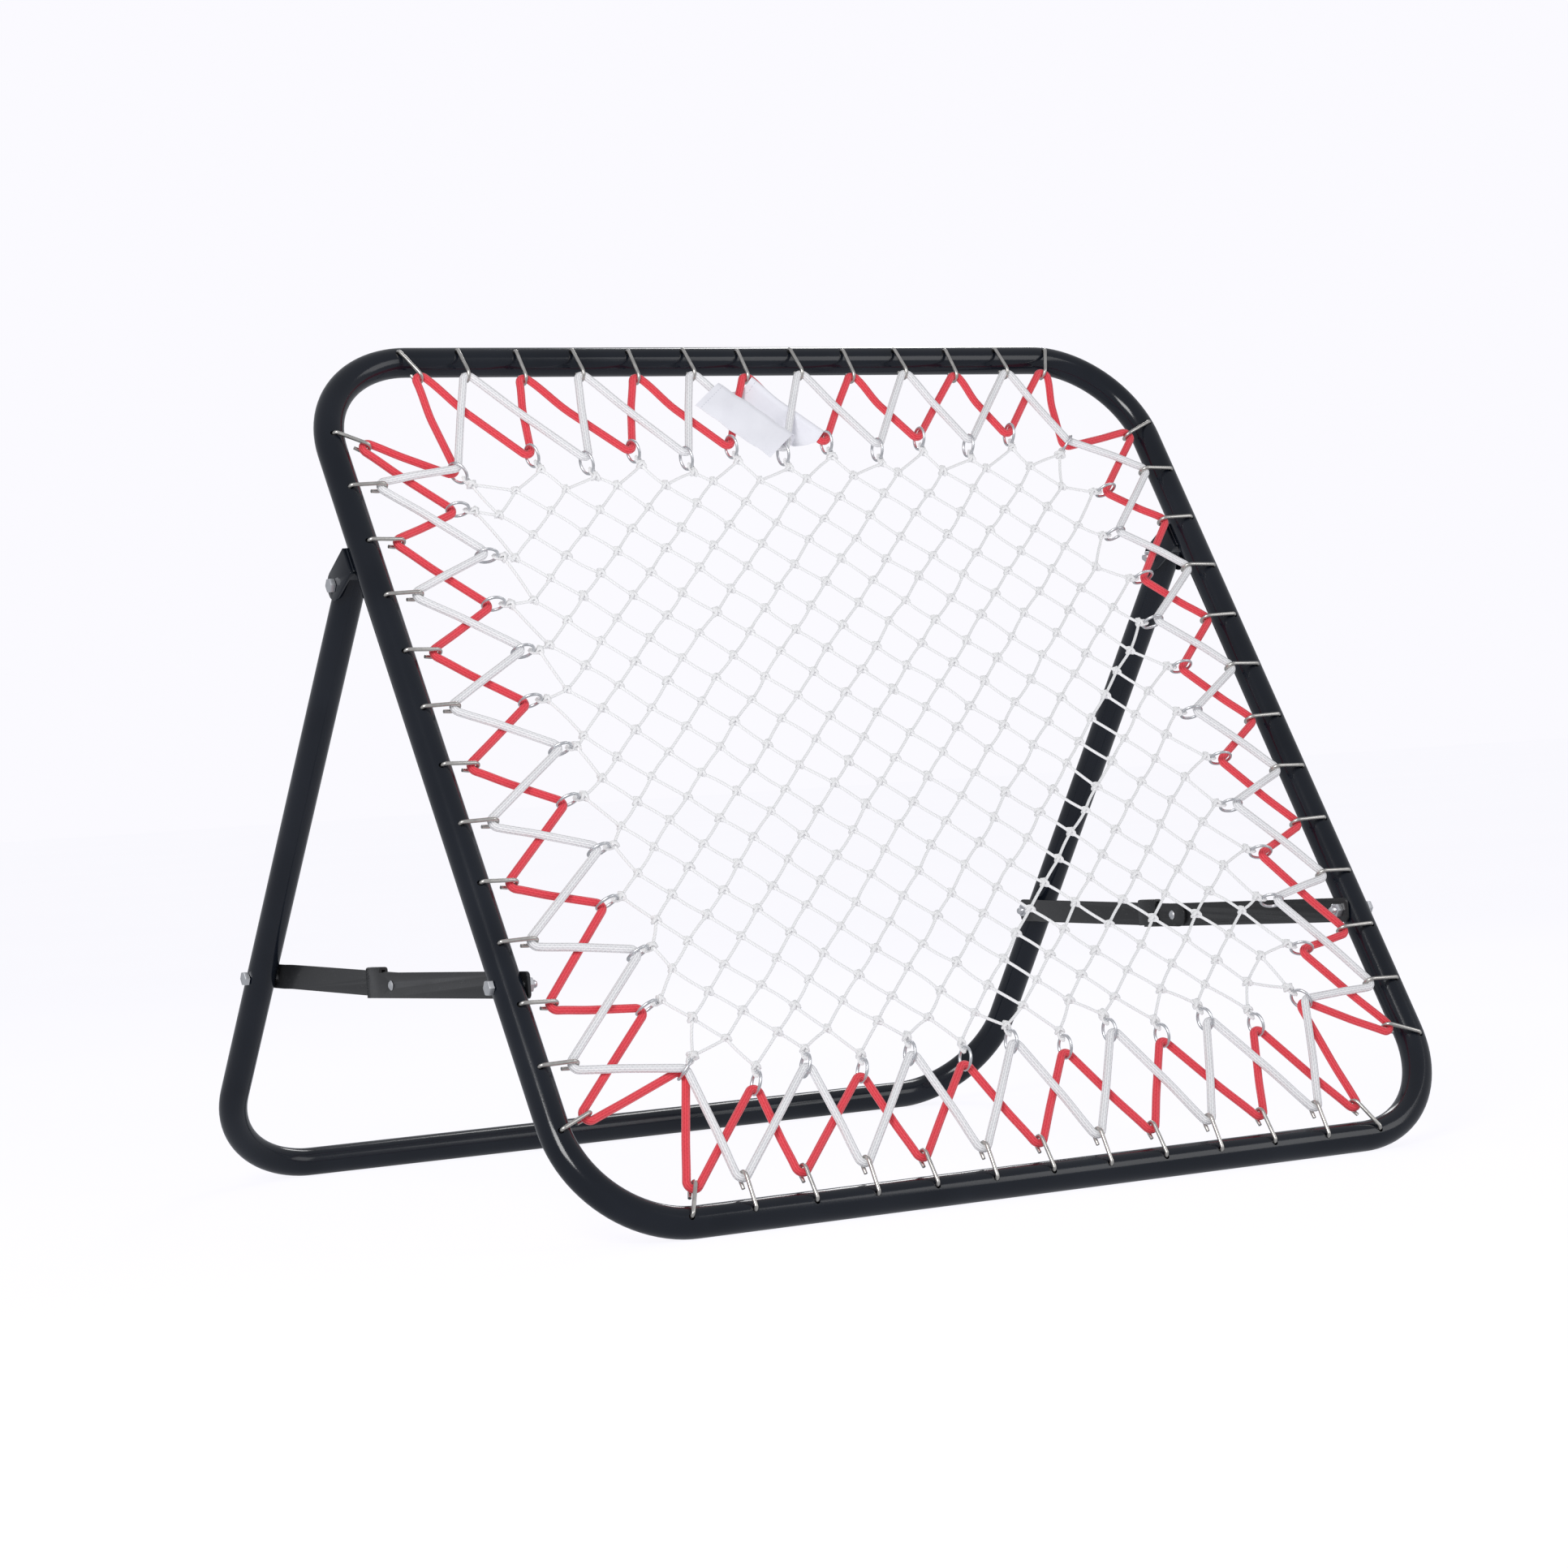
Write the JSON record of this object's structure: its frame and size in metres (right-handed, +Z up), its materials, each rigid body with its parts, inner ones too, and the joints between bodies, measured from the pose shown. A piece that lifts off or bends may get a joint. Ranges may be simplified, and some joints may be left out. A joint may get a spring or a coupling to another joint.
{
  "type": "pitch back rebounder",
  "caption": "Square tubular ball rebounder with a diamond mesh net laced in by two elastic cords, leaning back on a folding rear leg with folding braces.",
  "frame": {"origin": "on the ground under the middle of the whole object's bounding box", "axes": "+X to the right seen from the net's side, +Y from the net towards the rear leg, +Z up"},
  "size_m": [1.0184, 0.9064, 0.8553],
  "materials": {
    "frame_tube": "gloss blue-black powder coat",
    "leg_tube": "gloss blue-black powder coat",
    "bracket_steel": "gloss blue-black powder coat",
    "link_steel": "semi-gloss charcoal paint",
    "zinc_hardware": "bright zinc plate",
    "plug_plastic": "moulded black plastic",
    "net_twine": "knotted white twine",
    "cord_red": "red braided sheath over rubber",
    "cord_white": "white braided sheath over rubber",
    "label_cloth": "plain white woven label"
  },
  "bodies": {
    "frame": {"front_frame": "frame_tube", "net": "net_twine", "elastic_cord_red": "cord_red", "elastic_cord_white": "cord_white", "net_label": "label_cloth", "hinge_bracket_left": "bracket_steel", "hinge_bolt_left": "zinc_hardware", "hinge_nut_left": "zinc_hardware", "brace_front_bolt_left": "zinc_hardware", "brace_front_nut_left": "zinc_hardware", "hinge_bracket_right": "bracket_steel", "hinge_bolt_right": "zinc_hardware", "hinge_nut_right": "zinc_hardware", "brace_front_bolt_right": "zinc_hardware", "brace_front_nut_right": "zinc_hardware"},
    "leg": {"rear_leg": "leg_tube", "leg_end_plug_left": "plug_plastic", "brace_rear_bolt_left": "zinc_hardware", "leg_end_plug_right": "plug_plastic", "brace_rear_bolt_right": "zinc_hardware"},
    "front_link_left": {"brace_front_link_left": "link_steel", "brace_rivet_left": "zinc_hardware"},
    "rear_link_left": {"brace_rear_link_left": "link_steel", "brace_rear_nut_left": "zinc_hardware"},
    "front_link_right": {"brace_front_link_right": "link_steel", "brace_rivet_right": "zinc_hardware"},
    "rear_link_right": {"brace_rear_link_right": "link_steel", "brace_rear_nut_right": "zinc_hardware"}
  },
  "joints": [
    {"name": "leg_fold", "type": "hinge", "parent": "frame", "child": "leg", "pos_m": [0, -0.0111, 0.61578], "axis": [-1, 0, 0], "range_deg": [0, 68.4]},
    {"name": "front_link_left_swing", "type": "hinge", "parent": "frame", "child": "front_link_left", "pos_m": [-0.4679, -0.30407, 0.23117], "axis": [-1, 0, 0], "range_deg": [-52.89, 0]},
    {"name": "rear_link_left_swing", "type": "hinge", "parent": "front_link_left", "child": "rear_link_left", "pos_m": [-0.4646, -0.01344, 0.2242], "axis": [-1, 0, 0], "range_deg": [0, 172.5]},
    {"name": "front_link_right_swing", "type": "hinge", "parent": "frame", "child": "front_link_right", "pos_m": [0.4679, -0.30407, 0.23117], "axis": [-1, 0, 0], "range_deg": [-52.89, 0]},
    {"name": "rear_link_right_swing", "type": "hinge", "parent": "front_link_right", "child": "rear_link_right", "pos_m": [0.4646, -0.01344, 0.2242], "axis": [-1, 0, 0], "range_deg": [0, 172.5]}
  ],
  "couplings": [
    {"joint": "front_link_left_swing", "follows": "leg_fold", "ratio": -0.77315},
    {"joint": "rear_link_left_swing", "follows": "leg_fold", "ratio": 2.5218},
    {"joint": "front_link_right_swing", "follows": "leg_fold", "ratio": -0.77315},
    {"joint": "rear_link_right_swing", "follows": "leg_fold", "ratio": 2.5218}
  ]
}
